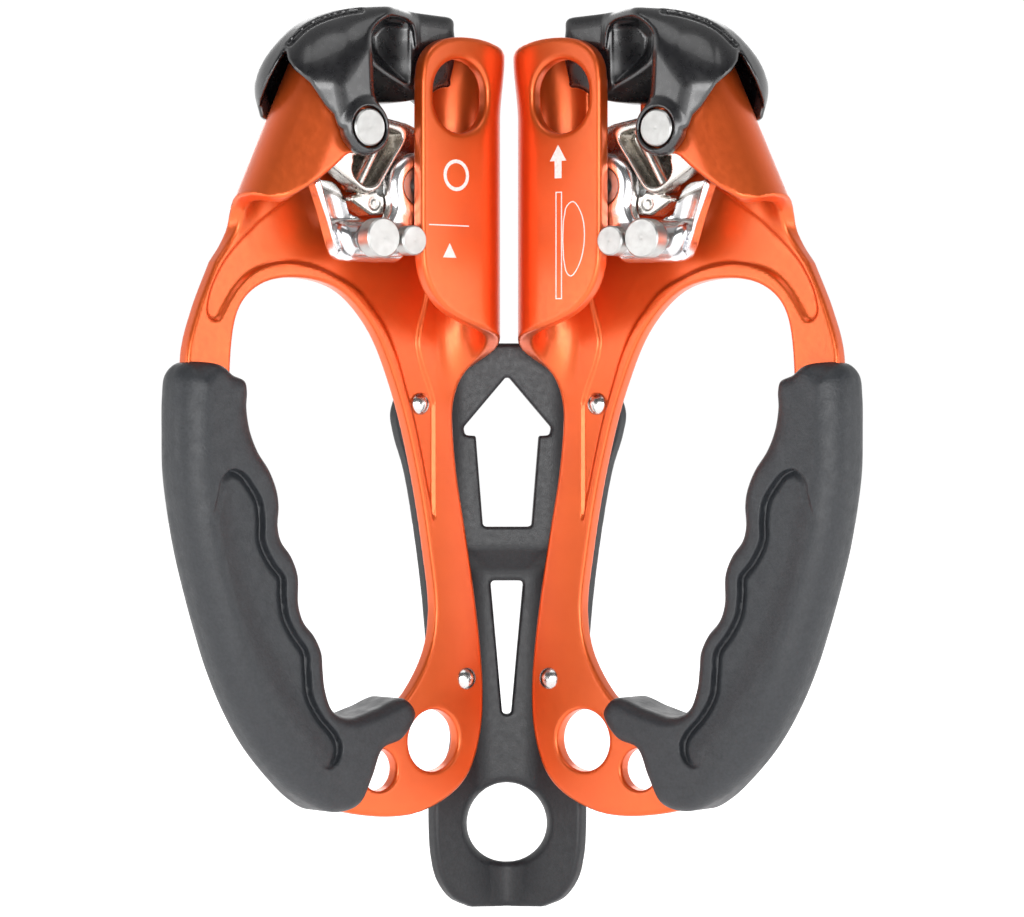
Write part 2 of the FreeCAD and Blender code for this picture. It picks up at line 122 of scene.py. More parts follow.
def surface_nets(field, lo, step):
    """Vertices and quads of the zero surface: one vertex in each cell that the surface crosses."""
    inside = field < 0
    n = np.array(field.shape) - 1
    corner = [(i, j, k) for i in (0, 1) for j in (0, 1) for k in (0, 1)]
    total = np.zeros(n, np.int8)
    for i, j, k in corner:
        total += inside[i:n[0] + i, j:n[1] + j, k:n[2] + k]
    cells = np.argwhere((total > 0) & (total < 8))
    number = np.full(n, -1, np.int32)
    number[cells[:, 0], cells[:, 1], cells[:, 2]] = np.arange(len(cells))
    summed = np.zeros((len(cells), 3))
    hits = np.zeros(len(cells))
    for a in range(3):
        for c in corner:
            if c[a]:
                continue
            start = cells + np.array(c)
            end = start.copy()
            end[:, a] += 1
            f0 = field[start[:, 0], start[:, 1], start[:, 2]]
            f1 = field[end[:, 0], end[:, 1], end[:, 2]]
            cross = (f0 < 0) != (f1 < 0)
            t = np.where(cross, f0 / np.where(cross, f0 - f1, 1.0), 0.0)
            point = start.astype(float)
            point[:, a] += t
            summed += point * cross[:, None]
            hits += cross
    verts = np.array(lo) + step * summed / hits[:, None]
    faces = []
    for a in range(3):
        b, c = (a + 1) % 3, (a + 2) % 3
        low = [slice(0, s) for s in field.shape]
        high = list(low)
        low[a] = slice(0, field.shape[a] - 1)
        high[a] = slice(1, field.shape[a])
        change = inside[tuple(low)] != inside[tuple(high)]
        edge = np.argwhere(change)
        edge = edge[(edge[:, b] > 0) & (edge[:, c] > 0) & (edge[:, b] < n[b]) & (edge[:, c] < n[c])]
        ring = []
        for db, dc in ((-1, -1), (0, -1), (0, 0), (-1, 0)):
            cell = edge.copy()
            cell[:, b] += db
            cell[:, c] += dc
            ring.append(number[cell[:, 0], cell[:, 1], cell[:, 2]])
        quad = np.stack(ring, 1)
        flip = inside[edge[:, 0], edge[:, 1], edge[:, 2]]
        quad[~flip] = quad[~flip][:, ::-1]
        faces.append(quad)
    return verts, np.concatenate(faces)


def settle(sdf, verts):
    """Moves the vertices onto the exact surface."""
    for _ in range(SETTLE_ROUNDS):
        value = sdf(verts)
        grad = np.zeros_like(verts)
        for a in range(3):
            probe = verts.copy()
            probe[:, a] += PROBE
            grad[:, a] = (sdf(probe) - value) / PROBE
        size = np.maximum((grad ** 2).sum(1), 0.25)
        move = -value[:, None] * grad / size[:, None]
        length = np.linalg.norm(move, axis=1, keepdims=True)
        move *= np.minimum(1.0, LONGEST_MOVE / np.maximum(length, 1e-9))
        verts = verts + move
    return verts


def cut(a, b, r):
    """Intersection of two solids, with an outer corner of radius r, which may vary from point to point."""
    u = np.maximum(a + r, 0.0)
    v = np.maximum(b + r, 0.0)
    return np.minimum(-r, np.maximum(a, b)) + np.sqrt(u * u + v * v)


def weld(a, b, r):
    """Union of two solids, with a filled inner corner of radius r."""
    return -cut(-a, -b, r)


def polygon_distance(points, x, y):
    """Signed distance to a closed outline, negative inside."""
    pts = np.asarray(points, float)
    best = np.full(np.shape(x), 1e9)
    crossings = np.zeros(np.shape(x), bool)
    for a, b in zip(pts, np.roll(pts, -1, 0)):
        ex, ey = b - a
        wx, wy = x - a[0], y - a[1]
        t = np.clip((wx * ex + wy * ey) / (ex * ex + ey * ey), 0, 1)
        d = (wx - t * ex) ** 2 + (wy - t * ey) ** 2
        best = np.minimum(best, d)
        if ey != 0:
            straddle = (a[1] > y) != (b[1] > y)
            side = wx * ey - wy * ex
            crossings ^= straddle & ((side < 0) if ey > 0 else (side > 0))
    return np.where(crossings, -1.0, 1.0) * np.sqrt(best)


class Outline:
    """A closed outline, drawn through one part after another; its distance is read from a fine table."""
    def __init__(self, *parts):
        pts = np.concatenate([np.asarray(part, float) for part in parts])
        self.lo = pts.min(0) - TABLE_MARGIN
        n = np.ceil((pts.max(0) + TABLE_MARGIN - self.lo) / TABLE_STEP).astype(int) + 2
        gx = self.lo[0] + TABLE_STEP * np.arange(n[0])
        gy = self.lo[1] + TABLE_STEP * np.arange(n[1])
        x, y = np.meshgrid(gx, gy, indexing="ij")
        self.table = polygon_distance(pts, x, y)
        self.top = n - 2

    def __call__(self, x, y):
        u = (x - self.lo[0]) / TABLE_STEP
        v = (y - self.lo[1]) / TABLE_STEP
        i = np.clip(u.astype(int), 0, self.top[0])
        j = np.clip(v.astype(int), 0, self.top[1])
        fu = np.clip(u - i, 0, 1)
        fv = np.clip(v - j, 0, 1)
        t = self.table
        inner = (t[i, j] * (1 - fu) * (1 - fv) + t[i + 1, j] * fu * (1 - fv)
                 + t[i, j + 1] * (1 - fu) * fv + t[i + 1, j + 1] * fu * fv)
        gap = np.hypot(np.maximum(0, np.abs(u - i - 0.5) - 0.5), np.maximum(0, np.abs(v - j - 0.5) - 0.5))
        return inner + gap * TABLE_STEP


def smooth_curve(points, closed=True, parts=8):
    """Centripetal Catmull-Rom curve through the points, with a number of parts between each two."""
    p = np.asarray(points, float)
    n = len(p)
    out = []
    last = n if closed else n - 1
    for i in range(last):
        if closed:
            p0, p1, p2, p3 = p[i - 1], p[i], p[(i + 1) % n], p[(i + 2) % n]
        else:
            p0, p1, p2, p3 = p[max(i - 1, 0)], p[i], p[i + 1], p[min(i + 2, n - 1)]
        d1 = max(np.linalg.norm(p1 - p0), 1e-6) ** 0.5
        d2 = max(np.linalg.norm(p2 - p1), 1e-6) ** 0.5
        d3 = max(np.linalg.norm(p3 - p2), 1e-6) ** 0.5
        t1 = (p1 - p0) / d1 - (p2 - p0) / (d1 + d2) + (p2 - p1) / d2
        t2 = (p2 - p1) / d2 - (p3 - p1) / (d2 + d3) + (p3 - p2) / d3
        if d1 < 1e-2:
            t1 = (p2 - p1) / d2
        if d3 < 1e-2:
            t2 = (p2 - p1) / d2
        t1, t2 = t1 * d2, t2 * d2
        for k in range(parts):
            t = k / parts
            out.append((2 * t ** 3 - 3 * t ** 2 + 1) * p1 + (t ** 3 - 2 * t ** 2 + t) * t1
                       + (-2 * t ** 3 + 3 * t ** 2) * p2 + (t ** 3 - t ** 2) * t2)
    if not closed:
        out.append(p[-1])
    return np.array(out)


def ramp(t):
    """0 below 0, 1 above 1, smooth between."""
    t = np.clip(t, 0.0, 1.0)
    return t * t * (3 - 2 * t)


def slab(z, low, high):
    return np.abs(z - (low + high) / 2) - (high - low) / 2


def circle(x, y, centre, radius):
    return np.hypot(x - centre[0], y - centre[1]) - radius


def bar(x, y, a, b, half):
    """Distance to a straight bar with round ends."""
    ex, ey = b[0] - a[0], b[1] - a[1]
    t = np.clip(((x - a[0]) * ex + (y - a[1]) * ey) / (ex * ex + ey * ey), 0, 1)
    return np.hypot(x - a[0] - t * ex, y - a[1] - t * ey) - half


def add_object(name, data):
    item = bpy.data.objects.new(name, data)
    bpy.context.scene.collection.objects.link(item)
    return item


def mesh_piece(name, verts, quads, material, body, replaced):
    """A finished piece, from vertices in world millimetres, in place of the CAD nodes in replaced."""
    mesh = bpy.data.meshes.new(name)
    mesh.from_pydata((verts * MM).tolist(), [], quads.tolist())
    mesh.validate()
    for polygon in mesh.polygons:
        polygon.use_smooth = True
    mesh.materials.append(material)
    piece = add_object(name, mesh)
    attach(piece, body)
    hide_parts(*replaced)


def solid_mesh(sdf, lo, hi, step):
    verts, quads = surface_nets(blocks_field(sdf, lo, hi, step), lo, step)
    return settle(sdf, verts), quads


def clamp_pieces(name, sdf, lo, hi, step, material, body, node):
    """The field's mesh as a right piece and a mirrored left piece."""
    verts, quads = solid_mesh(sdf, lo, hi, step)
    for side_name, side in (("right", 1), ("left", -1)):
        faces = quads if side == 1 else quads[:, ::-1]
        rider = body if body == "chassis" else side_name + "_" + body
        mesh_piece(side_name + "_" + name, clamp_to_world(verts, side), faces, material, rider,
                   (side_name + "_" + node,))


# ------------------------ frame
FOLD_X = 25.3               # axis of the rope channel's fold
FOLD_R = 9.5                # radius of the sheet's middle in both folds
MID_Z = 11.5                # depth of both fold axes
FLAP_Z = 21.0               # middle of the folded front sheets
SHELL_FOOT = (75.4, 152.0)
SHELL_HEAD = (57.6, 190.0)
SHELL_LENGTH = math.dist(SHELL_FOOT, SHELL_HEAD)
ALONG = ((SHELL_HEAD[0] - SHELL_FOOT[0]) / SHELL_LENGTH, (SHELL_HEAD[1] - SHELL_FOOT[1]) / SHELL_LENGTH)
EYELET = (31.5, 179.3)
EYELET_HALF = (8.1, 9.0)    # half its width and half its height
BACK_HOLE = (34.8, 178.2)   # in the back sheet, behind the eyelet
BACK_HOLE_HALF = (7.4, 10.0)
LARGE_HOLE = (25.6, 21.7)
LARGE_HOLE_R = 7.65
SMALL_HOLE = (41.9, 15.2)
SMALL_HOLE_R = 5.15
AXLE_HOLE_R = 4.1
PANEL_DEPTH = 0.95
SHEET_EDGE_R = 0.8

# outer edge of the sheet, laid flat about the rope channel; x falls below FOLD_X round the fold and along
# the front flap
CHANNEL_EDGE = Outline(
    smooth_curve([(-22.35, 178.0), (-22.35, 164.0), (-22.35, 148.0), (-22.3, 142.0), (-21.75, 137.3),
                  (-20.65, 134.0), (-18.9, 131.1), (-14.85, 127.3), (-10.25, 125.0), (-4.9, 123.2),
                  (0.0, 121.8), (4.5, 120.3), (9.8, 117.6), (14.5, 114.4), (17.3, 111.0),
                  (18.9, 107.0), (19.6, 102.5), (18.4, 88.5), (15.6, 73.5), (12.9, 58.5), (10.8, 43.5),
                  (10.1, 33.5), (10.8, 23.5), (14.1, 13.9), (19.4, 8.5), (30.6, 4.0), (44.7, 4.0),
                  (58.0, 7.5), (70.0, 17.5), (81.0, 36.5), (90.0, 60.0), (96.5, 88.5), (98.0, 115.5),
                  (95.0, 126.5), (89.8, 138.3)], closed=False),
    [(120.0, 150.0), (150.0, 197.0), (40.0, 197.0)],
    smooth_curve([(35.0, 196.0), (30.0, 193.0), (25.5, 191.6), (20.5, 191.2), (15.0, 191.2), (9.0, 191.2),
                  (4.4, 191.2), (2.2, 191.6), (-0.4, 192.4), (-3.5, 193.3), (-7.85, 193.7), (-12.25, 193.5),
                  (-16.05, 192.6), (-19.45, 190.5), (-21.5, 187.4), (-22.3, 183.0)], closed=False))

# the same about the outer shell's fold: x is measured outwards from the fold's axis, y along it
SHELL_EDGE = Outline(
    [(-80.0, -60.0), (60.0, -60.0), (12.0, -24.0)],
    smooth_curve([(7.2, -18.5), (6.2, -13.0), (6.4, -8.5), (8.6, -5.4), (12.0, -4.0), (15.4, -3.6),
                  (18.4, -3.3), (21.6, -3.1), (24.4, -1.9), (26.6, 0.9), (29.3, 5.2), (32.3, 10.6),
                  (34.8, 15.4), (38.5, 17.6), (42.0, 19.8), (40.6, 24.2), (36.6, 27.6), (31.6, 31.6),
                  (27.0, 34.6)], closed=False),
    [(8.0, 36.0), (0.0, 40.0), (-80.0, 42.5)])

HAND_OPENING = Outline(smooth_curve([
    (67.0, 135.0), (77.0, 133.0), (83.0, 127.5), (85.7, 113.5), (84.0, 88.5), (77.5, 63.5), (68.4, 42.0),
    (58.0, 28.2), (44.0, 26.8), (36.6, 30.6), (32.7, 33.9), (26.8, 43.5), (25.0, 53.5), (26.8, 68.5),
    (30.7, 88.5), (36.6, 108.5), (44.0, 123.5), (54.0, 132.5)]))

# the stamped panel, pressed in below the border beside the hand opening
PANEL = Outline(
    smooth_curve([(27.2, 150.0), (27.4, 133.0), (28.6, 127.5), (29.8, 123.2), (30.3, 119.9), (29.2, 115.1),
                  (26.4, 108.1), (23.8, 99.5), (22.1, 90.9), (20.9, 82.3), (20.3, 76.9), (20.8, 73.9),
                  (22.6, 72.8), (24.6, 74.0), (25.5, 76.4), (26.3, 80.2), (27.6, 85.6), (29.6, 94.1),
                  (31.6, 101.7), (33.9, 108.5), (36.7, 116.5), (40.3, 123.5), (43.9, 128.0), (48.5, 132.5),
                  (54.5, 135.4), (59.9, 137.4), (64.9, 138.4), (69.2, 138.6), (73.6, 138.0), (77.9, 136.7),
                  (81.1, 134.8), (83.8, 132.3), (85.9, 129.5), (87.8, 126.5), (88.9, 124.8), (90.0, 124.2),
                  (91.3, 124.7), (92.2, 126.2), (92.1, 128.1), (91.1, 131.8), (89.5, 135.0), (87.4, 138.3),
                  (84.8, 141.3), (82.1, 144.0), (79.4, 146.3), (76.8, 148.5), (71.4, 152.2), (66.0, 156.0),
                  (63.2, 158.0)], closed=False),
    [(54.0, 166.0), (42.0, 172.0), (27.4, 168.0)])


def curled(u, z, curl):
    """Where a point lies in a sheet that curls about an axis: its place along the sheet, and how far
    behind the sheet's middle it is.  curl is 1 for the full fold and falls to 0 for a flat sheet."""
    radius = FOLD_R / np.maximum(curl, 0.004)
    dz = z - (SHEET / 2 + radius)
    return radius * np.arctan2(u, -dz), np.hypot(u, dz) - radius


def upright_oval(x, y, centre, half):
    """Distance to an oval hole: two half circles joined by straight sides; half is (width, height)."""
    reach = half[1] - half[0]
    return np.hypot(x - centre[0], np.maximum(np.abs(y - centre[1]) - reach, 0)) - half[0]


def frame_field(p):
    """The folded sheet as five parts: flat back, rope channel, front flap, outer shell and its ear."""
    x, y, z = p.T
    # the mouth of the channel widens towards its top
    x = x + 1.4 * ramp((y - 174.0) / 16.0) * ramp((FOLD_X - x) / 8.0)
    sunk = PANEL_DEPTH * ramp(0.5 - PANEL(x, y) / 0.8)
    bx, by = x - SHELL_FOOT[0], y - SHELL_FOOT[1]
    along = bx * ALONG[0] + by * ALONG[1]
    out = bx * ALONG[1] - by * ALONG[0]
    # back sheet
    edge = CHANNEL_EDGE(x, y)
    edge = np.maximum(edge, np.where((out > -12) & (along > -40), SHELL_EDGE(out, along), -FAR))
    sheet = slab(z, 0.0, SHEET - sunk)
    back = cut(sheet, edge, SHEET_EDGE_R)
    back = np.where((x >= FOLD_X) & (out <= 0), back, FAR)
    # rope channel
    curl = ramp((y - 101.5) / 20.0)
    s, t = curled(FOLD_X - x, z, curl)
    fold = cut(np.abs(t) - SHEET / 2, CHANNEL_EDGE(FOLD_X - s, y), SHEET_EDGE_R)
    fold = np.where(x < FOLD_X, fold, FAR)
    # front flap
    front = np.abs(z - FLAP_Z) - SHEET / 2
    flap = cut(front, CHANNEL_EDGE(2 * FOLD_X - FOLD_R * math.pi - x, y), SHEET_EDGE_R)
    flap = np.where((x >= FOLD_X) & (z > MID_Z) & (y > 112), flap, FAR)
    # outer shell
    curl = ramp((along + 15.0) / 13.0)
    s, t = curled(out, z, curl)
    shell_edge = np.maximum(SHELL_EDGE(s, along), np.where(along < -13, CHANNEL_EDGE(x, y), -FAR))
    pressed = sunk * ramp((MID_Z - z) / 4.0)
    shell = cut(np.maximum(t - SHEET / 2, pressed - SHEET / 2 - t), shell_edge, SHEET_EDGE_R)
    shell = np.where(out > 0, shell, FAR)
    # ear round the cam axle's front end
    ear = cut(front, SHELL_EDGE(FOLD_R * math.pi - out, along), SHEET_EDGE_R)
    ear = np.where((out <= 0) & (z > MID_Z) & (along > -5), ear, FAR)
    solid = np.minimum.reduce([back, fold, flap, shell, ear])
    # holes
    solid = cut(solid, -HAND_OPENING(x, y), SHEET_EDGE_R)
    solid = cut(solid, -np.maximum(upright_oval(x, y, EYELET, EYELET_HALF), MID_Z - z), 1.0)
    solid = cut(solid, -np.maximum(upright_oval(x, y, BACK_HOLE, BACK_HOLE_HALF), z - MID_Z), SHEET_EDGE_R)
    solid = cut(solid, -circle(x, y, LARGE_HOLE, LARGE_HOLE_R), SHEET_EDGE_R)
    solid = cut(solid, -circle(x, y, SMALL_HOLE, SMALL_HOLE_R), SHEET_EDGE_R)
    return cut(solid, -circle(x, y, AXLE, AXLE_HOLE_R), 0.3)


# ------------------------ grip
GRIP_EDGE = Outline(smooth_curve([
    (84.3, 107.4), (85.2, 109.8), (88.4, 111.2), (91.0, 113.2), (94.2, 114.1), (98.8, 114.0), (101.4, 111.4),
    (102.2, 106.0), (102.3, 98.0), (102.1, 88.2), (100.8, 78.8), (98.9, 69.3), (96.3, 59.9), (93.3, 50.4),
    (89.9, 40.9), (85.5, 31.5), (79.5, 22.0), (72.6, 14.4), (65.4, 8.8), (58.6, 6.0), (51.5, 7.5),
    (47.6, 14.0), (44.5, 20.6), (38.5, 23.0), (34.6, 29.0), (38.0, 32.8), (46.0, 30.6), (54.0, 28.8),
    (59.2, 30.6), (61.5, 35.6), (62.2, 40.6), (62.6, 44.6),
    (64.7, 48.8), (67.9, 52.4), (69.3, 56.4), (69.5, 63.4), (71.4, 68.0), (74.3, 71.8), (75.2, 75.4),
    (75.0, 80.0), (75.6, 83.8), (77.7, 88.6), (80.9, 93.2), (83.0, 98.2), (84.0, 103.4)]))
GRIP_INNER = Outline(
    smooth_curve([(93.4, 83.0), (92.4, 86.6), (89.4, 88.8), (86.2, 88.0), (83.3, 85.0), (80.9, 81.2),
                  (80.2, 76.5), (80.1, 71.8), (77.3, 66.6), (74.3, 63.0), (74.1, 58.9), (73.3, 53.8),
                  (70.8, 49.4), (67.5, 45.0), (66.9, 39.9), (66.3, 34.7), (63.3, 29.5), (59.2, 25.2),
                  (57.8, 22.3), (58.6, 18.9), (61.3, 16.9), (64.0, 17.6), (65.2, 19.6)], closed=False),
    [(84.0, 34.0), (99.0, 66.0)])
GRIP_OUTER = Outline(
    smooth_curve([(97.0, 90.0), (96.6, 79.0), (94.4, 68.0), (90.4, 56.0), (84.4, 44.0), (77.4, 33.5),
                  (71.5, 26.0), (65.0, 18.0)], closed=False),
    [(62.0, 8.0), (30.0, 8.0), (30.0, 100.0), (97.0, 100.0)])
GRIP_MID = 2.25             # depth of its middle
GRIP_HALF = 8.25            # half its thickness
GRIP_CORNER_R = (7.5, 3.1)  # of the outer edge, and of the inner edge that the fingers hold
GRIP_RECESS = 1.3           # depth of the recessed face
GRIP_GROOVE = 1.1           # how much deeper the groove is that runs beside the finger waves
FIT = 0.05                  # play round the sheet inside the grip


def grip_field(p):
    x, y, z = p.T
    wall = GRIP_INNER(x, y)
    sunk = ramp(0.5 - wall / 0.5) * ramp(-GRIP_OUTER(x, y) / 9.0)
    sunk = sunk * (GRIP_RECESS + GRIP_GROOVE * ramp(1.0 + wall / 2.4))
    inner = ramp((86.0 - x - 0.25 * (60.0 - y)) / 16.0)
    top_corner = ramp((y - 102.0) / 11.0) * ramp((98.0 - x) / 6.0)
    radius = (GRIP_CORNER_R[0] - (GRIP_CORNER_R[0] - GRIP_CORNER_R[1]) * inner) * (1.0 - 0.5 * top_corner)
    solid = cut(GRIP_EDGE(x, y), np.abs(z - GRIP_MID) - (GRIP_HALF - sunk), radius)
    core = np.maximum(slab(z, -FIT, SHEET + FIT), np.maximum(CHANNEL_EDGE(x, y), -HAND_OPENING(x, y)) - FIT)
    return np.maximum(solid, -core)


# ------------------------ centre plate, in world millimetres
PLATE_EDGE = Outline(
    [(-30.0, 120.2), (8.0, 120.2)],
    smooth_curve([(13.0, 119.9), (20.0, 117.5), (27.0, 112.5), (32.2, 107.0), (33.8, 102.5), (32.8, 97.0),
                  (29.8, 88.5), (25.8, 68.5), (23.2, 48.5), (21.8, 23.5), (22.0, 0.0), (21.3, -8.0),
                  (19.6, -13.6), (15.6, -18.4), (10.0, -20.9)], closed=False),
    [(4.0, -21.2), (-30.0, -21.2)])
ARROW = Outline([(0, 110.7), (9.95, 98.9), (9.8, 98.1), (7.0, 97.9), (5.2, 75.3), (-5.2, 75.3), (-7.0, 97.9),
                 (-9.8, 98.1), (-9.95, 98.9)])
SLOT = Outline([(-3.1, 59.9), (3.1, 59.9), (0.25, 28.2), (-0.25, 28.2)])
SCALLOP_R = 10.4            # keeps the wing clear of the frame's large hole
WINDOW_CORNER_R = 0.9       # of the arrow's and the slot's corners
EYE_R = 10.0


def web_half_width(height):
    """Half the width of the flat web between the wings, across the view."""
    return np.interp(height, [-22, -12, 11, 62.2, 63.6, 68.6, 70.0, 120],
                     [1.9, 2.1, 5.6, 7.0, 7.3, 12.2, 12.5, 12.5])


def plate_field(p):
    x, y, z = np.abs(p[:, 0]), p[:, 1] - SHIFT[1], p[:, 2]
    depth = -x * SIN - y * COS
    web = -web_half_width(z) * SIN / COS
    front = weld(depth + 0.03, web - y, 1.6)
    back = cut(-SHEET - depth, y - web - SHEET, 5.0)
    solid = cut(np.maximum(front, back), PLATE_EDGE(x * COS - y * SIN, z), 1.1)
    solid = cut(solid, -circle(x * COS - y * SIN, z, LARGE_HOLE, SCALLOP_R), 0.8)
    solid = cut(solid, WINDOW_CORNER_R - ARROW(x, z), 0.7)
    solid = cut(solid, WINDOW_CORNER_R - SLOT(x, z), 0.7)
    return cut(solid, EYE_R - np.hypot(x, z), 1.9)


# ------------------------ hood
HOOD_PROFILE = Outline(
    [(-20.0, 150.0), (-20.0, 198.6), (20.0, 198.6)],
    smooth_curve([(29.0, 198.9), (37.0, 199.2), (43.4, 199.5), (49.5, 199.7), (55.0, 199.6), (63.0, 198.7),
                  (69.7, 195.8), (74.9, 191.3), (78.6, 186.4), (80.3, 181.8), (80.3, 177.8), (79.0, 173.4),
                  (77.4, 168.0)], closed=False),
    [(76.0, 150.0)])
HOOD_BACK = Outline(smooth_curve([
    (18.5, 190.0), (19.0, 197.5), (24.0, 199.9), (40.0, 200.4), (54.0, 199.8), (64.0, 194.5), (71.0, 186.0),
    (73.8, 180.0), (73.2, 175.6), (70.4, 174.0), (67.5, 176.5), (62.0, 180.6), (45.0, 181.7), (32.0, 181.7),
    (26.5, 179.6), (22.5, 180.6), (19.6, 184.5)]))
HOOD_BLOCK = Outline(smooth_curve([
    (29.2, 202.0), (28.6, 196.0), (28.0, 191.0), (29.6, 185.6), (34.5, 180.6), (40.5, 178.2), (47.0, 177.8),
    (53.5, 178.6), (57.4, 181.6), (59.0, 188.0), (60.5, 195.0), (59.0, 202.0)]))
HOOD_SCOOP = Outline(smooth_curve([
    (41.4, 188.0), (41.1, 193.0), (41.5, 198.0), (44.0, 201.0), (50.0, 201.0), (55.0, 198.0), (56.0, 191.0),
    (54.0, 186.2), (50.8, 183.6), (46.6, 181.8), (43.0, 181.2), (41.8, 183.2)]))
# the edges and the groove below are drawn as the user sees them: world X, and the height
HOOD_FRONT_CUT = Outline([
    (54.0, 188.3), (53.4, 185.8), (51.8, 183.4), (48.0, 180.1), (46.1, 177.2), (44.4, 174.6), (42.5, 172.7),
    (41.6, 170.1), (40.9, 167.2), (39.0, 165.1), (30.0, 150.0), (75.0, 150.0), (61.6, 169.6), (61.0, 172.6),
    (59.8, 177.0), (57.8, 181.6), (55.6, 185.6)])
HOOD_DOME_EDGE = Outline(
    [(22.0, 210.0), (22.4, 200.0), (22.5, 190.6)],
    smooth_curve([(23.1, 190.8), (23.4, 193.4), (24.1, 196.0), (26.0, 197.2), (29.4, 196.9), (31.8, 195.2),
                  (33.5, 192.4), (33.3, 187.0), (33.1, 182.0), (32.8, 178.2), (31.4, 174.8), (29.6, 171.5)],
                 closed=False),
    [(28.0, 150.0), (-20.0, 150.0), (-20.0, 210.0)])
HOOD_GROOVE = smooth_curve([(36.0, 198.2), (40.0, 197.6), (44.4, 196.2), (49.0, 193.8), (53.0, 189.8)],
                           closed=False, parts=3)
HOOD_REAR = -3.2            # back of the hood
HOOD_FRONT = 26.4           # front of the hood at the cam axle
HOOD_WALL = 3.0
HOOD_FOOT = 172.6           # height of its lower edge on the outer side
GROOVE_R = 0.75
BLOCK_Z = (4.2, 17.2)       # depth of the block behind the scoop
SCOOP_DEPTH = 7.0
BOSS_R = 6.1                # round the cam axle's front end
BOSS_Z = (23.2, 27.0)
BOSS_BORE_R = 5.0
SHEET_GAP = 0.12            # between the hood and the frame's sheet


def hood_field(p):
    x, y, z = p.T
    across = x * COS - z * SIN
    profile = HOOD_PROFILE(x, y)
    corner = 4.0 + 9.5 * ramp((x - 52.0) / 14.0)
    bulge = np.clip(across - 39.0, -7.0, 9.0) ** 2 / 110.0
    front = HOOD_FRONT - 7.6 * ramp((30.5 - across) / 8.5) - bulge
    outer = cut(profile, np.maximum(HOOD_REAR - z, z - front), corner)
    shell = np.abs(outer + HOOD_WALL / 2) - HOOD_WALL / 2
    groove = np.full(len(p), FAR)
    for a, b in zip(HOOD_GROOVE, HOOD_GROOVE[1:]):
        groove = np.minimum(groove, bar(across, y, a, b, 0.0))
    groove = np.where(z > MID_Z, np.hypot(groove, outer) - GROOVE_R, FAR)
    # open in front beside the dome and below the tail, open towards the channel, and open below
    shell = cut(shell, -np.maximum(HOOD_DOME_EDGE(across, y), 16.9 - z), 1.1)
    shell = cut(shell, -np.maximum(HOOD_FRONT_CUT(across, y), 5.0 - z), 0.8)
    shell = cut(shell, 19.5 + (z + 3.0) * 0.5 - x, 2.0)
    low = HOOD_FOOT + (6.0 + 3.2 * ramp((x - 25.0) / 5.0)) * ramp((66.0 - x) / 12.0) - y
    boss_reach = np.hypot(x - AXLE[0], y - AXLE[1])
    low = np.where(z > 17.5, np.minimum(boss_reach - BOSS_R - 0.2, 169.5 - y), low)
    shell = cut(shell, low, 1.0)
    back = cut(HOOD_BACK(x, y), slab(z, HOOD_REAR, -0.1), 0.9)
    # block with a hollowed front and a sloping underside
    block = cut(HOOD_BLOCK(x, y), slab(z, *BLOCK_Z), 1.6)
    block = cut(block, profile, 1.5)
    scoop = z - BLOCK_Z[1] + SCOOP_DEPTH * ramp(-HOOD_SCOOP(x, y) / 8.5)
    block = cut(block, scoop * 0.65, 0.6)
    block = cut(block, (z - 16.9 + 1.5 * (181.0 + (x - 42.6) * 0.5 - y)) * 0.55, 0.5)
    boss = cut(boss_reach - BOSS_R, slab(z, *BOSS_Z), 1.1)
    solid = weld(shell, back, 1.0)
    solid = weld(solid, block, 1.2)
    solid = weld(solid, boss, 1.6)
    solid = cut(solid, BOSS_BORE_R - boss_reach, 0.4)
    solid = cut(solid, -groove, 0.3)
    # room for the frame's sheet
    near = solid < 1.0
    blocked = np.full(len(p), -FAR)
    if near.any():
        blocked[near] = SHEET_GAP - frame_field(p[near])
    return np.maximum(solid, blocked)


# ------------------------ cam
CAM_FLANGE = Outline(smooth_curve([
    (66.5, 176.5), (58.0, 175.0), (51.3, 172.9), (48.1, 172.4), (45.3, 171.8), (43.9, 170.4), (44.2, 168.4),
    (47.8, 163.1), (51.0, 158.5), (52.7, 156.2), (54.8, 155.2), (57.0, 155.4), (59.5, 156.9), (63.2, 159.1),
    (66.5, 161.5), (69.0, 166.0), (69.5, 171.5)]))
CAM_POCKET = Outline(smooth_curve([
    (62.0, 173.0), (51.0, 171.1), (48.0, 170.6), (46.0, 169.8), (45.7, 168.6), (48.9, 163.6), (51.7, 159.4),
    (53.4, 157.2), (55.2, 156.7), (57.0, 156.9), (59.4, 158.5), (60.4, 160.8), (60.0, 163.0), (61.5, 166.0)]))
# the cam's face: its radius about the axle grows as it runs down, from FACE_TOP degrees on
FACE_R = 34.5
FACE_TOP = 187.0
FACE_STEP = 3.3             # degrees
FACE_GROWTH = 0.62          # for each step
CAM_BODY = Outline(
    [(66.0, 176.0), (52.0, 174.6), (46.3, 173.8), (40.5, 172.8), (36.5, 171.4)],
    [(AXLE[0] + (FACE_R + i * FACE_GROWTH) * math.cos(math.radians(FACE_TOP + i * FACE_STEP)),
      AXLE[1] + (FACE_R + i * FACE_GROWTH) * math.sin(math.radians(FACE_TOP + i * FACE_STEP)))
     for i in range(10)],
    [(44.0, 151.6), (47.6, 151.0), (50.4, 154.8), (55.6, 158.2), (59.5, 161.2), (63.5, 163.6),
     (68.0, 170.0)])
CAM_ARM = Outline([(49.0, 155.8), (57.6, 153.8), (52.4, 150.8), (49.2, 150.9)])
ARM_MARK = (51.6, 152.9)
MUD_HOLE = ((53.4, 166.0), (57.4, 160.9), 2.3)      # both ends and the radius
CAM_RIB = ((49.4, 170.6), (57.0, 157.2), 1.65)      # both ends and half the width
BODY_Z = (5.4, 13.4)
FLANGE_Z = (12.4, 18.3)
TEETH_Z = 9.4               # depth of the middle of the toothed face
TOOTH_ROW = 3.4             # degrees
TOOTH_PITCH = 2.6
HUB_R = 6.4
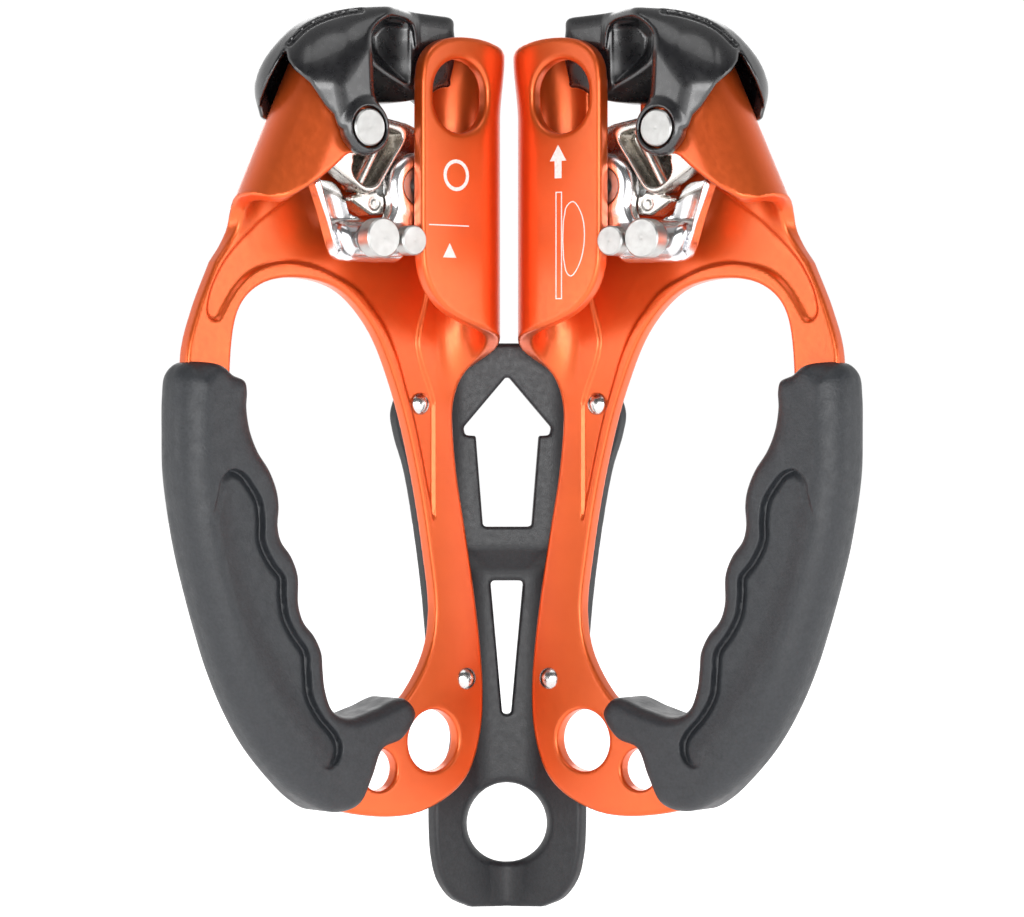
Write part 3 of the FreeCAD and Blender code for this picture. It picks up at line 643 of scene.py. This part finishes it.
AXLE_BORE_R = 4.08
PIVOT_BORE_R = 4.45
RING_SEAT_R = 8.35
STOP_PIN_BORE_R = 1.35


def cam_field(p):
    x, y, z = p.T
    body = cut(CAM_BODY(x, y), slab(z, *BODY_Z), 0.8)
    # conical teeth in staggered rows on the eccentric face
    angle = np.degrees(np.arctan2(y - AXLE[1], x - AXLE[0])) % 360.0
    reach = np.hypot(x - AXLE[0], y - AXLE[1])
    face = FACE_R + (angle - FACE_TOP) / FACE_STEP * FACE_GROWTH
    row = (angle - FACE_TOP - 1.5) / TOOTH_ROW
    column = (z - TEETH_Z) / TOOTH_PITCH + 0.5 * (np.floor(row + 0.5) % 2)
    da = (row - np.floor(row + 0.5)) * 2.1
    dz = (column - np.floor(column + 0.5)) * TOOTH_PITCH
    cone = np.hypot(da, dz) * 0.85 + (reach - face) * 0.5 - 0.75
    cone = np.maximum(cone, np.maximum(np.abs(angle - 201.5) - 14.5, slab(z, 6.0, 12.8)))
    cone = np.maximum(cone, 33.0 - reach)
    body = np.minimum(body, cone)
    flange = cut(CAM_FLANGE(x, y), slab(z, *FLANGE_Z), 0.7)
    solid = weld(body, flange, 0.6)
    pocket = cut(CAM_POCKET(x, y), 11.6 - z, 0.8)
    solid = cut(solid, -pocket, 0.35)
    solid = cut(solid, -np.maximum(bar(x, y, *MUD_HOLE), 6.8 - z), 0.4)
    rib = cut(bar(x, y, *CAM_RIB), slab(z, 10.0, 16.6), 1.5)
    solid = weld(solid, np.maximum(rib, CAM_FLANGE(x, y)), 0.5)
    arm = cut(CAM_ARM(x, y) - 0.8, slab(z, 9.0, 15.0), 0.6)
    ring_mark = np.hypot(circle(x, y, ARM_MARK, 1.25), z - 15.0) - 0.22
    solid = cut(weld(solid, arm, 0.5), -ring_mark, 0.1)
    # hub and bore on the axle, and room for its spring
    solid = weld(solid, cut(circle(x, y, AXLE, HUB_R), slab(z, 5.4, 18.4), 0.6), 0.3)
    solid = cut(solid, -circle(x, y, AXLE, AXLE_BORE_R), 0.2)
    spring = np.maximum(circle(x, y, AXLE, 7.4), slab(z, 9.0, 13.8))
    solid = cut(solid, -spring, 0.1)
    # seat of the lever's ring, the bore of its pivot, and room for its spring
    ring_seat = np.maximum(circle(x, y, RING, RING_SEAT_R), 13.4 - z)
    solid = cut(solid, -ring_seat, 0.3)
    solid = cut(solid, -circle(x, y, RING, PIVOT_BORE_R), 0.2)
    spring = np.maximum(circle(x, y, RING, 6.8), 11.7 - z)
    solid = cut(solid, -spring, 0.2)
    return cut(solid, -circle(x, y, STOP_PIN, STOP_PIN_BORE_R), 0.15)


# ------------------------ lever
LEVER_LINK = Outline(smooth_curve([
    (34.0, 160.5), (33.4, 155.5), (35.6, 149.5), (39.6, 144.0), (44.5, 140.6), (49.5, 140.2), (53.5, 142.5),
    (53.0, 147.0), (49.8, 149.6), (48.6, 152.4), (48.9, 156.0), (48.8, 159.0), (47.0, 162.5), (42.0, 164.8),
    (37.0, 164.0)]))
LEVER_WING = Outline(
    smooth_curve([(50.0, 147.6), (54.4, 148.6), (56.6, 150.9), (58.4, 153.9), (60.4, 156.7), (62.0, 157.8),
                  (65.0, 158.1), (69.0, 158.1), (70.1, 157.2), (69.6, 155.6), (68.5, 152.8), (66.4, 147.6),
                  (64.6, 142.6), (62.9, 140.3), (60.0, 139.2), (56.0, 138.9)], closed=False),
    [(50.0, 139.2)])
FLANGE_LINE = (69.6, 157.5, 0.953, -0.302)      # a point on the pad's right edge and the way it faces
BARREL = (143.7, 14.6)      # height and depth of the barrel's axis
BARREL_R = 4.9
BARREL_END = 44.8
LEVER_Z = (13.8, 18.4)
LEVER_EDGE_R = 1.9
RING_R = 8.0
THUMB_BORE_R = 3.05
CATCH_BORE_R = 1.25
CAM_GAP = 0.15              # between the lever and the cam's sweep
LEVER_TRAVEL = JOINTS["right_lever_pivot_hinge"]["range_deg"][1]


def cam_clearance(p):
    """How close the cam comes to points that swing with the lever through its travel."""
    least = np.full(len(p), FAR)
    dx, dy = p[:, 0] - RING[0], p[:, 1] - RING[1]
    for turn in np.radians(np.linspace(0.0, LEVER_TRAVEL, 6)):
        moved = np.stack([RING[0] + dx * math.cos(turn) - dy * math.sin(turn),
                          RING[1] + dx * math.sin(turn) + dy * math.cos(turn), p[:, 2]], 1)
        least = np.minimum(least, cam_field(moved))
    return least


def lever_field(p):
    x, y, z = p.T
    ring = cut(circle(x, y, RING, RING_R), slab(z, *LEVER_Z), LEVER_EDGE_R)
    link = cut(LEVER_LINK(x, y), slab(z, *LEVER_Z), LEVER_EDGE_R)
    solid = weld(ring, link, 1.0)
    inside = -((x - FLANGE_LINE[0]) * FLANGE_LINE[2] + (y - FLANGE_LINE[1]) * FLANGE_LINE[3])
    tube = np.hypot(y - BARREL[0], z - BARREL[1]) - BARREL_R
    tube = cut(tube, BARREL_END - x, 1.2)
    tube = cut(tube, 1.5 - inside, 2.8)
    # the thumb pad: a plate hollowed along its right edge, which stands up as a thin flange
    hollow = 20.5 - np.sqrt(np.maximum(64.0 - (np.clip(inside, 0.0, 12.0) - 6.5) ** 2, 4.0))
    front = hollow + (16.9 - hollow) * ramp((1.7 - inside) / 0.9)
    wing = cut(LEVER_WING(x, y), np.maximum(z - front, np.maximum(7.4, hollow - 2.8) - z) * 0.85, 0.5)
    solid = weld(solid, tube, 1.2)
    solid = weld(solid, wing, 0.9)
    solid = cut(solid, -circle(x, y, RING, PIVOT_BORE_R), 0.5)
    bores = np.minimum(circle(x, y, THUMB_STUD, THUMB_BORE_R), circle(x, y, CATCH_STUD, CATCH_BORE_R))
    solid = cut(solid, -np.maximum(bores, 12.0 - z), 0.1)
    # room for the cam
    near = (solid < 1.0) & (x > 46.0) & (z < 15.8)
    if near.any():
        solid[near] = np.maximum(solid[near], CAM_GAP - cam_clearance(p[near]))
    return solid


# ------------------------ rivets
RIVETS = ((15.5, 36.7, 4.0), (29.2, 104.9, 3.3))    # place, and the depth at which the head sits
RIVET_HEAD_R = 2.85
RIVET_DOME_R = 3.45


def rivet_field(p):
    x, y, z = p.T
    solid = np.full(len(p), FAR)
    for rx, ry, seat in RIVETS:
        reach = np.hypot(x - rx, y - ry)
        dome = np.hypot(reach, z - seat + 1.9) - RIVET_DOME_R
        head = cut(np.maximum(dome, seat - 0.3 - z), reach - RIVET_HEAD_R, 0.25)
        shank = np.maximum(reach - 2.0, slab(z, -4.4, seat))
        foot = cut(reach - 2.6, slab(z, -5.3, -4.02), 0.5)
        solid = np.minimum(solid, np.minimum(np.minimum(head, shank), foot))
    return solid


# ------------------------ printed marks
def ribbon(points, half_width, closed):
    """Left and right edges of a line of even width with mitred corners."""
    p = np.asarray(points, float)
    before = np.roll(p, 1, 0) if closed else np.concatenate([p[:1], p[:-1]])
    after = np.roll(p, -1, 0) if closed else np.concatenate([p[1:], p[-1:]])
    a, b = p - before, after - p
    if not closed:
        a[0], b[-1] = b[0], a[-1]
    a = a / np.linalg.norm(a, axis=1, keepdims=True)
    b = b / np.linalg.norm(b, axis=1, keepdims=True)
    normal = np.stack([-(a + b)[:, 1], (a + b)[:, 0]], 1)
    normal /= np.maximum(np.linalg.norm(normal, axis=1, keepdims=True), 1e-6)
    stretch = 1.0 / np.maximum(normal[:, 0] * -a[:, 1] + normal[:, 1] * a[:, 0], 0.5)
    offset = normal * (half_width * stretch)[:, None]
    return p + offset, p - offset


PRINT_Z = (22.97, 23.05)    # from just inside the flap's front face to just above it
THIN_LINE = 0.14            # half the width of the thin lines


def printed_marks(name, lines, shapes, side):
    """Thin raised paint: lines as ribbons and shapes as filled areas."""
    low, high = PRINT_Z
    verts, faces = [], []

    def solid_area(ring):
        start = len(verts)
        count = len(ring)
        verts.extend([(x, y, low) for x, y in ring] + [(x, y, high) for x, y in ring])
        faces.append([start + count + i for i in range(count)])
        faces.append([start + i for i in reversed(range(count))])
        for i in range(count):
            j = (i + 1) % count
            faces.append([start + i, start + j, start + count + j, start + count + i])

    for points, half_width, closed in lines:
        left, right = ribbon(points, half_width, closed)
        count = len(left)
        for i in range(count if closed else count - 1):
            j = (i + 1) % count
            solid_area([tuple(right[i]), tuple(right[j]), tuple(left[j]), tuple(left[i])])
    for ring in shapes:
        solid_area(ring)
    if side < 0:
        faces = [face[::-1] for face in faces]
    mesh = bpy.data.meshes.new(name)
    mesh.from_pydata((clamp_to_world(np.array(verts), side) * MM).tolist(), [], faces)
    mesh.materials.append(PRINT)
    piece = add_object(name, mesh)
    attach(piece, "chassis")


# ------------------------ materials
def linear(r, g, b):
    """A screen colour as scene-linear values."""
    parts = [((c / 255 + 0.055) / 1.055) ** 2.4 if c > 10 else c / 255 / 12.92 for c in (r, g, b)]
    return (*parts, 1.0)


NOISE_RANGE = (0.3, 0.7)    # where most of a noise pattern's values lie


def map_range(tree, value, start, end, low, high):
    """A node that maps the range from start to end onto the range from low to high."""
    node = tree.nodes.new("ShaderNodeMapRange")
    for name, number in (("From Min", start), ("From Max", end), ("To Min", low), ("To Max", high)):
        node.inputs[name].default_value = number
    tree.links.new(value, node.inputs["Value"])
    return node.outputs["Result"]


class Finish:
    """A material under construction: a principled shader with object coordinates to drive its detail."""
    def __init__(self, name, colour, roughness, metallic=0.0, specular=0.5, coat=0.0):
        self.material = bpy.data.materials.new(name)
        self.material.use_nodes = True
        self.tree = self.material.node_tree
        self.nodes, self.links = self.tree.nodes, self.tree.links
        self.shader = self.nodes["Principled BSDF"]
        self.shader.inputs["Base Color"].default_value = linear(*colour)
        self.shader.inputs["Roughness"].default_value = roughness
        self.shader.inputs["Metallic"].default_value = metallic
        self.shader.inputs["Specular IOR Level"].default_value = specular
        self.shader.inputs["Coat Weight"].default_value = coat
        self.coords = self.nodes.new("ShaderNodeTexCoord").outputs["Object"]
        self.height = None

    def noise(self, scale, detail):
        node = self.nodes.new("ShaderNodeTexNoise")
        node.inputs["Scale"].default_value = scale
        node.inputs["Detail"].default_value = detail
        self.links.new(self.coords, node.inputs["Vector"])
        return node.outputs["Fac"]

    def vary_roughness(self, scale, detail, low, high):
        rough = map_range(self.tree, self.noise(scale, detail), *NOISE_RANGE, low, high)
        self.links.new(rough, self.shader.inputs["Roughness"])

    def vary_colour(self, scale, detail, first, second):
        mix = self.nodes.new("ShaderNodeMix")
        mix.data_type = "RGBA"
        mix.inputs["A"].default_value = linear(*first)
        mix.inputs["B"].default_value = linear(*second)
        share = map_range(self.tree, self.noise(scale, detail), *NOISE_RANGE, 0, 1)
        self.links.new(share, mix.inputs["Factor"])
        self.links.new(mix.outputs["Result"], self.shader.inputs["Base Color"])

    def grain(self, scale, detail, depth, strength):
        self.bump(self.noise(scale, detail), depth, strength)

    def bump(self, value, depth, strength):
        """Adds a bump; depth is in metres."""
        node = self.nodes.new("ShaderNodeBump")
        node.inputs["Distance"].default_value = depth
        node.inputs["Strength"].default_value = strength
        self.links.new(value, node.inputs["Height"])
        if self.height is not None:
            self.links.new(self.height, node.inputs["Normal"])
        self.height = node.outputs["Normal"]
        self.links.new(self.height, self.shader.inputs["Normal"])

    def axis_distance(self, centre, direction):
        """Distance from an axis that both clamps share as mirror images."""
        split = self.nodes.new("ShaderNodeSeparateXYZ")
        self.links.new(self.coords, split.inputs["Vector"])
        size = self.nodes.new("ShaderNodeMath")
        size.operation = "ABSOLUTE"
        self.links.new(split.outputs["X"], size.inputs[0])
        whole = self.nodes.new("ShaderNodeCombineXYZ")
        self.links.new(size.outputs["Value"], whole.inputs["X"])
        self.links.new(split.outputs["Y"], whole.inputs["Y"])
        self.links.new(split.outputs["Z"], whole.inputs["Z"])
        value = whole.outputs["Vector"]
        for operation, constant in (("SUBTRACT", centre), ("CROSS_PRODUCT", direction)):
            node = self.nodes.new("ShaderNodeVectorMath")
            node.operation = operation
            node.inputs[1].default_value = constant
            self.links.new(value, node.inputs[0])
            value = node.outputs["Vector"]
        length = self.nodes.new("ShaderNodeVectorMath")
        length.operation = "LENGTH"
        self.links.new(value, length.inputs[0])
        return length.outputs["Value"]


def anodised_orange():
    finish = Finish("anodised_orange", (232, 96, 32), 0.34, metallic=0.7, coat=0.5)
    finish.shader.inputs["Coat Roughness"].default_value = 0.25
    finish.vary_colour(60.0, 3, (238, 102, 39), (229, 95, 36))
    finish.vary_roughness(900.0, 3, 0.30, 0.40)
    finish.grain(2600.0, 2, 0.00003, 0.5)
    finish.grain(500.0, 1, 0.00005, 0.18)
    return finish.material


def black_plate():
    finish = Finish("black_plate", (24, 26, 30), 0.4, specular=0.55)
    finish.vary_colour(1500.0, 2, (19, 21, 25), (30, 32, 37))
    finish.vary_roughness(700.0, 3, 0.36, 0.48)
    finish.grain(1900.0, 2, 0.00006, 0.7)
    return finish.material


def grip_rubber():
    finish = Finish("grip_rubber", (34, 37, 41), 0.5, specular=0.65)
    finish.vary_colour(1400.0, 2, (31, 34, 38), (41, 44, 49))
    finish.vary_roughness(400.0, 2, 0.44, 0.56)
    finish.grain(1500.0, 2, 0.0001, 0.8)
    finish.grain(180.0, 2, 0.0001, 0.2)
    return finish.material


def hood_plastic():
    finish = Finish("hood_plastic", (13, 13, 16), 0.28, specular=1.0, coat=0.3)
    finish.vary_colour(90.0, 3, (11, 11, 14), (16, 16, 20))
    finish.vary_roughness(600.0, 2, 0.25, 0.33)
    finish.grain(800.0, 1, 0.00002, 0.25)
    return finish.material


def nickel():
    finish = Finish("nickel_cam", (204, 199, 192), 0.26, metallic=1.0)
    finish.vary_colour(160.0, 2, (210, 206, 200), (200, 195, 188))
    finish.vary_roughness(500.0, 2, 0.22, 0.31)
    finish.grain(900.0, 1, 0.00003, 0.15)
    return finish.material


def polished_aluminium():
    finish = Finish("polished_aluminium", (236, 236, 238), 0.26, metallic=1.0)
    finish.vary_colour(150.0, 3, (245, 244, 244), (226, 226, 230))
    finish.vary_roughness(260.0, 2, 0.2, 0.26)
    finish.grain(700.0, 1, 0.00001, 0.1)
    return finish.material


CENTRE_MARK = (0.0001, 0.0006)      # radii, in metres, between which the mark on a pin's face slopes


def turned_steel(name, centre, ring_pitch):
    """Turned pin face: fine rings about the pin's axis, and a small centre mark."""
    finish = Finish(name, (196, 196, 194), 0.36, metallic=1.0)
    distance = finish.axis_distance(centre, (SIN, COS, 0.0))
    finish.vary_colour(300.0, 3, (200, 200, 198), (186, 186, 184))
    rings = finish.nodes.new("ShaderNodeMath")
    rings.operation = "PINGPONG"
    rings.inputs[1].default_value = ring_pitch
    finish.links.new(distance, rings.inputs[0])
    finish.bump(map_range(finish.tree, rings.outputs["Value"], 0, ring_pitch, 0, 1), 0.00002, 0.4)
    finish.bump(map_range(finish.tree, distance, *CENTRE_MARK, 0, 1), 0.00005, 0.6)
    finish.vary_roughness(900.0, 3, 0.32, 0.42)
    return finish.material


def spring_steel():
    finish = Finish("spring_steel", (150, 150, 150), 0.3, metallic=1.0)
    finish.vary_colour(500.0, 2, (160, 160, 158), (120, 120, 120))
    finish.vary_roughness(900.0, 2, 0.2, 0.4)
    finish.grain(1200.0, 2, 0.00003, 0.4)
    return finish.material


def bright_rivet():
    finish = Finish("bright_rivet", (225, 225, 224), 0.22, metallic=1.0)
    finish.vary_colour(400.0, 3, (232, 232, 230), (205, 205, 205))
    finish.vary_roughness(900.0, 3, 0.16, 0.3)
    finish.grain(900.0, 2, 0.00004, 0.3)
    return finish.material


def white_print():
    finish = Finish("white_print", (244, 240, 236), 0.55)
    finish.vary_colour(1500.0, 2, (248, 245, 242), (232, 224, 218))
    finish.vary_roughness(900.0, 2, 0.45, 0.65)
    finish.grain(2500.0, 1, 0.00002, 0.4)
    return finish.material


def studio_floor():
    finish = Finish("studio_floor", (250, 250, 250), 0.8, specular=0.2)
    finish.vary_colour(30.0, 2, (251, 251, 251), (248, 248, 248))
    finish.shader.inputs["Emission Color"].default_value = (1.0, 1.0, 1.0, 1.0)
    finish.shader.inputs["Emission Strength"].default_value = 0.8
    return finish.material


ORANGE = anodised_orange()
PLATE = black_plate()
RUBBER = grip_rubber()
PLASTIC = hood_plastic()
NICKEL = nickel()
ALUMINIUM = polished_aluminium()
SPRING = spring_steel()
PRINT = white_print()
RIVET = bright_rivet()


def clamp_point(x, y, z):
    """One point of the right clamp, in world metres."""
    return tuple((clamp_to_world(np.array([[x, y, z]]), 1)[0] * MM).tolist())


# ------------------------ the pieces
clamp_pieces("frame_sheet", frame_field, (7.0, 2.0, -1.5), (104.0, 199.0, 25.5), 0.6, ORANGE,
             "chassis", "frame")
clamp_pieces("grip_rubber", grip_field, (32.0, 3.0, -7.5), (104.0, 118.0, 12.0), 0.48, RUBBER,
             "chassis", "grip")
clamp_pieces("hood_shell", hood_field, (16.0, 161.0, -4.0), (85.0, 202.5, 28.0), 0.45, PLASTIC,
             "chassis", "hood")
clamp_pieces("cam_casting", cam_field, (20.0, 149.0, 4.5), (71.5, 178.5, 19.5), 0.35, NICKEL,
             "cam_body", "cam")
clamp_pieces("lever_casting", lever_field, (30.0, 137.0, 5.5), (72.0, 167.0, 24.0), 0.35, ALUMINIUM,
             "lever_body", "lever")
clamp_pieces("rivet_heads", rivet_field, (12.0, 33.0, -6.0), (33.5, 108.5, 7.0), 0.3, RIVET,
             "chassis", "rivets")
verts, quads = solid_mesh(plate_field, (-38.0, -32.0, -23.0), (38.0, 10.0, 121.0), 0.55)
mesh_piece("centre_plate_sheet", verts, quads, PLATE, "chassis", ("centre_plate",))

# plain arrow, rope line and handle loop on the right flap; ring, rule and triangle on the left flap
ARROW_MARK = [(31.0, 167.5), (28.6, 163.6), (30.0, 163.6), (30.0, 159.4), (32.0, 159.4), (32.0, 163.6),
              (33.4, 163.6)]
ROPE_LINE = ([(30.4, 130.2), (30.4, 156.0), (32.0, 156.0), (32.0, 130.2)], THIN_LINE, True)
HANDLE_LOOP = (smooth_curve([(33.2, 137.0), (33.2, 152.0), (35.4, 153.6), (38.0, 150.0), (38.6, 144.0),
                             (37.2, 138.5), (34.8, 135.6)], parts=4), THIN_LINE, True)
RING_MARK = ([(33.0 + 3.4 * math.cos(math.radians(a)), 160.0 + 3.4 * math.sin(math.radians(a)))
              for a in range(0, 360, 15)], 0.45, True)
RULE = ([(29.2, 147.8), (41.2, 147.8)], THIN_LINE, False)
UP_MARK = [(35.0, 143.5), (33.0, 140.0), (37.0, 140.0)]
printed_marks("right_flap_marks", [ROPE_LINE, HANDLE_LOOP], [ARROW_MARK], 1)
printed_marks("left_flap_marks", [RING_MARK, RULE], [UP_MARK], -1)

# ------------------------ pins and springs stay as CAD
KEPT = {"cam_axle": turned_steel("turned_axle", clamp_point(*AXLE), 0.00012),
        "thumb_stud": turned_steel("turned_thumb_stud", clamp_point(*THUMB_STUD, 20.0), 0.00012),
        "catch_stud": turned_steel("turned_catch_stud", clamp_point(*CATCH_STUD, 20.0), 0.0001),
        "lever_pivot": turned_steel("turned_pivot", clamp_point(*RING, 15.0), 0.0001),
        "stop_pin": turned_steel("turned_stop_pin", clamp_point(*STOP_PIN, 12.0), 0.00008),
        "cam_spring": SPRING, "lever_spring": SPRING}
for node_name, material in KEPT.items():
    for side_name in ("right_", "left_"):
        for material_slot in frame["nodes"][side_name + node_name].material_slots:
            material_slot.material = material


# ------------------------ studio
LENS = 140.6
CAMERA_PLACE = (-0.028, -1.006, 0.0914)
CAMERA_TURN = -1.675        # degrees about the vertical
LAMPS = (("left", (-1.0, -0.40, 0.13), (0.0, 0.0, 0.1), (0.5, 0.42), 1.7),      # place, aim, size, power
         ("right", (1.0, -0.40, 0.13), (0.0, 0.0, 0.1), (0.5, 0.42), 1.7),
         ("front", (0.0, -1.35, 0.16), (0.0, 0.0, 0.09), (1.3, 0.4), 9.5),
         ("top", (0.0, -0.5, 1.1), (0.0, 0.0, 0.1), (0.9, 0.5), 2.0),
         ("back", (0.0, 1.0, 0.6), (0.0, 0.0, 0.1), (0.9, 0.6), 3.0))


def studio():
    mesh = bpy.data.meshes.new("floor")
    radius, count = 6.0, 96
    ground = CAD_BOX[0][2] - 0.0005
    ring = [(radius * math.cos(2 * math.pi * i / count), radius * math.sin(2 * math.pi * i / count), ground)
            for i in range(count)]
    mesh.from_pydata(ring, [], [list(range(count))])
    mesh.materials.append(studio_floor())
    floor = add_object("floor", mesh)

    world = bpy.data.worlds.new("studio")
    bpy.context.scene.world = world
    world.use_nodes = True
    tree = world.node_tree
    nodes, links = tree.nodes, tree.links
    background = nodes["Background"]
    coords = nodes.new("ShaderNodeTexCoord")
    split = nodes.new("ShaderNodeSeparateXYZ")
    links.new(coords.outputs["Generated"], split.inputs["Vector"])
    # brighter behind the object than behind the user, and dimmer overhead
    product = nodes.new("ShaderNodeMath")
    product.operation = "MULTIPLY"
    links.new(map_range(tree, split.outputs["Y"], -0.55, 0.35, 0.12, 1.02), product.inputs[0])
    links.new(map_range(tree, split.outputs["Z"], 0.2, 0.9, 1.0, 0.45), product.inputs[1])
    background.inputs["Color"].default_value = (1.0, 1.0, 1.0, 1.0)
    links.new(product.outputs["Value"], background.inputs["Strength"])


def lamp(name, place, aim, size, power):
    light = bpy.data.lights.new(name, "AREA")
    light.shape = "RECTANGLE"
    light.size, light.size_y = size
    light.energy = power
    holder = add_object(name, light)
    holder.location = place
    holder.rotation_euler = (Vector(aim) - Vector(place)).to_track_quat("-Z", "Y").to_euler()


def camera():
    data = bpy.data.cameras.new("camera")
    data.sensor_width = 36.0
    data.lens = LENS
    data.clip_start = 0.05
    holder = add_object("camera", data)
    holder.location = CAMERA_PLACE
    holder.rotation_euler = (math.radians(90.0), 0.0, math.radians(CAMERA_TURN))
    bpy.context.scene.camera = holder


studio()
camera()
for settings in LAMPS:
    lamp(*settings)
bpy.context.scene.view_settings.view_transform = "Standard"
